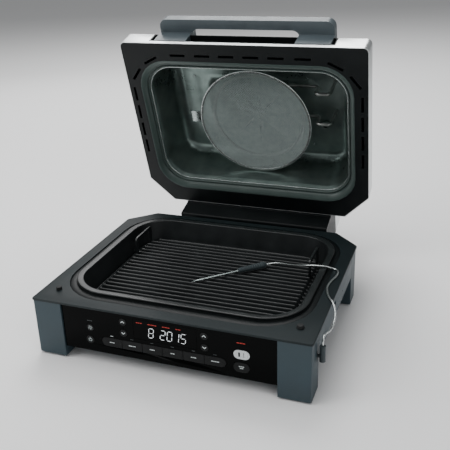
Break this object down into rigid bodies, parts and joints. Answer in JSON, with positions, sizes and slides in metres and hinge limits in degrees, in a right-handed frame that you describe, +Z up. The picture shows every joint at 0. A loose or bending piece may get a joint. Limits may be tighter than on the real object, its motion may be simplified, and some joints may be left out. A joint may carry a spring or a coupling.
{
  "type": "electric grill",
  "caption": "Countertop electric grill with a hinged convection lid, removable pot and ridged grate, touch-key front panel and a cabled meat probe.",
  "frame": {"origin": "on the resting surface, under the middle of the open appliance's bounding box, probe cable and plug left out", "axes": "+Z up, -Y towards the user in front of the control panel, +X to that user's right"},
  "size_m": [0.4511, 0.5872, 0.4678],
  "materials": {
    "deck_coat": "satin dark coating",
    "body_plastic": "fine-grained slate",
    "gloss_black": "high gloss",
    "key_plastic": "satin",
    "silver_paint": "silver paint",
    "satin_black": "satin",
    "rubber": "matt",
    "nonstick": "cast, nonstick coating",
    "heater_grey": "oxidised sheath",
    "dull_steel": "pressed, dull",
    "bright_steel": "bright",
    "brushed_steel": "brushed side to side",
    "gasket_grey": "matt silicone",
    "handle_plastic": "fine-grained",
    "grip_rubber": "matt silicone",
    "braid": "braided",
    "board": "solder mask"
  },
  "bodies": {
    "base": {"base_deck": "deck_coat", "base_housing": "body_plastic", "bottom_cover": "body_plastic", "leg_front_left": "body_plastic", "leg_front_right": "body_plastic", "leg_rear_left": "body_plastic", "leg_rear_right": "body_plastic", "foot_front_left": "rubber", "foot_front_right": "rubber", "foot_rear_left": "rubber", "foot_rear_right": "rubber", "lid_bumper": "rubber", "control_panel": "gloss_black", "display_window": "gloss_black", "control_board": "board", "pot_trim_ring": "satin_black", "heat_well": "dull_steel", "temperature_sensor": "dull_steel", "lower_element": "heater_grey", "cooking_pot": "nonstick", "grill_grate": "nonstick", "probe_cable": "braid", "probe_grip": "grip_rubber", "probe_needle": "bright_steel", "probe_plug": "grip_rubber", "probe_jack": "satin_black", "hinge_housing": "body_plastic", "hinge_shaft": "bright_steel", "hinge_spring_left": "bright_steel", "hinge_spring_right": "bright_steel", "power_cord_gland": "rubber"},
    "lid": {"lid_shell": "brushed_steel", "lid_frame": "satin_black", "lid_gasket": "gasket_grey", "lid_liner": "dull_steel", "lid_handle": "handle_plastic", "handle_base": "satin_black", "neck_cover": "satin_black", "rear_hump": "brushed_steel", "upper_element": "heater_grey", "fan_motor": "dull_steel"},
    "fan": {"convection_fan": "dull_steel", "fan_shaft": "bright_steel", "cooling_fan": "satin_black"},
    "shield": {"splatter_shield": "bright_steel"},
    "plunger": {"lid_switch_plunger": "rubber"},
    "key_light": {"key_light": "key_plastic"},
    "key_power": {"key_power": "key_plastic"},
    "key_temperature_up": {"key_temperature_up": "key_plastic"},
    "key_temperature_down": {"key_temperature_down": "key_plastic"},
    "key_time_up": {"key_time_up": "key_plastic"},
    "key_time_down": {"key_time_down": "key_plastic"},
    "key_preset": {"key_preset": "silver_paint"},
    "key_start_stop": {"key_start_stop": "key_plastic"},
    "key_function_1": {"key_function_1": "key_plastic"},
    "key_function_2": {"key_function_2": "key_plastic"},
    "key_function_3": {"key_function_3": "key_plastic"},
    "key_function_4": {"key_function_4": "key_plastic"},
    "key_function_5": {"key_function_5": "key_plastic"},
    "key_function_6": {"key_function_6": "key_plastic"}
  },
  "joints": [
    {"name": "lid_hinge", "type": "hinge", "parent": "base", "child": "lid", "pos_m": [0, 0.1098, 0.0468], "axis": [1, 0, 0], "range_deg": [0, 73.5]},
    {"name": "fan_spin", "type": "hinge", "parent": "lid", "child": "fan", "pos_m": [0, 0.10725, 0.25505], "axis": [0, 0.9588, 0.284], "continuous": true},
    {"name": "shield_slide", "type": "slide", "parent": "lid", "child": "shield", "axis": [0, -0.9588, -0.284], "range_m": [0, 0.045]},
    {"name": "lid_switch_slide", "type": "slide", "parent": "base", "child": "plunger", "axis": [0, 0, -1], "range_m": [0, 0.002], "stiffness_N_per_m": 300, "springref_m": -0.001},
    {"name": "key_light_press", "type": "slide", "parent": "base", "child": "key_light", "axis": [0, 1, 0], "range_m": [0, 0.001], "stiffness_N_per_m": 400, "springref_m": -0.0005},
    {"name": "key_power_press", "type": "slide", "parent": "base", "child": "key_power", "axis": [0, 1, 0], "range_m": [0, 0.001], "stiffness_N_per_m": 400, "springref_m": -0.0005},
    {"name": "key_temperature_up_press", "type": "slide", "parent": "base", "child": "key_temperature_up", "axis": [0, 1, 0], "range_m": [0, 0.001], "stiffness_N_per_m": 400, "springref_m": -0.0005},
    {"name": "key_temperature_down_press", "type": "slide", "parent": "base", "child": "key_temperature_down", "axis": [0, 1, 0], "range_m": [0, 0.001], "stiffness_N_per_m": 400, "springref_m": -0.0005},
    {"name": "key_time_up_press", "type": "slide", "parent": "base", "child": "key_time_up", "axis": [0, 1, 0], "range_m": [0, 0.001], "stiffness_N_per_m": 400, "springref_m": -0.0005},
    {"name": "key_time_down_press", "type": "slide", "parent": "base", "child": "key_time_down", "axis": [0, 1, 0], "range_m": [0, 0.001], "stiffness_N_per_m": 400, "springref_m": -0.0005},
    {"name": "key_preset_press", "type": "slide", "parent": "base", "child": "key_preset", "axis": [0, 1, 0], "range_m": [0, 0.001], "stiffness_N_per_m": 400, "springref_m": -0.0005},
    {"name": "key_start_stop_press", "type": "slide", "parent": "base", "child": "key_start_stop", "axis": [0, 1, 0], "range_m": [0, 0.001], "stiffness_N_per_m": 400, "springref_m": -0.0005},
    {"name": "key_function_1_press", "type": "slide", "parent": "base", "child": "key_function_1", "axis": [0, 1, 0], "range_m": [0, 0.001], "stiffness_N_per_m": 400, "springref_m": -0.0005},
    {"name": "key_function_2_press", "type": "slide", "parent": "base", "child": "key_function_2", "axis": [0, 1, 0], "range_m": [0, 0.001], "stiffness_N_per_m": 400, "springref_m": -0.0005},
    {"name": "key_function_3_press", "type": "slide", "parent": "base", "child": "key_function_3", "axis": [0, 1, 0], "range_m": [0, 0.001], "stiffness_N_per_m": 400, "springref_m": -0.0005},
    {"name": "key_function_4_press", "type": "slide", "parent": "base", "child": "key_function_4", "axis": [0, 1, 0], "range_m": [0, 0.001], "stiffness_N_per_m": 400, "springref_m": -0.0005},
    {"name": "key_function_5_press", "type": "slide", "parent": "base", "child": "key_function_5", "axis": [0, 1, 0], "range_m": [0, 0.001], "stiffness_N_per_m": 400, "springref_m": -0.0005},
    {"name": "key_function_6_press", "type": "slide", "parent": "base", "child": "key_function_6", "axis": [0, 1, 0], "range_m": [0, 0.001], "stiffness_N_per_m": 400, "springref_m": -0.0005}
  ]
}
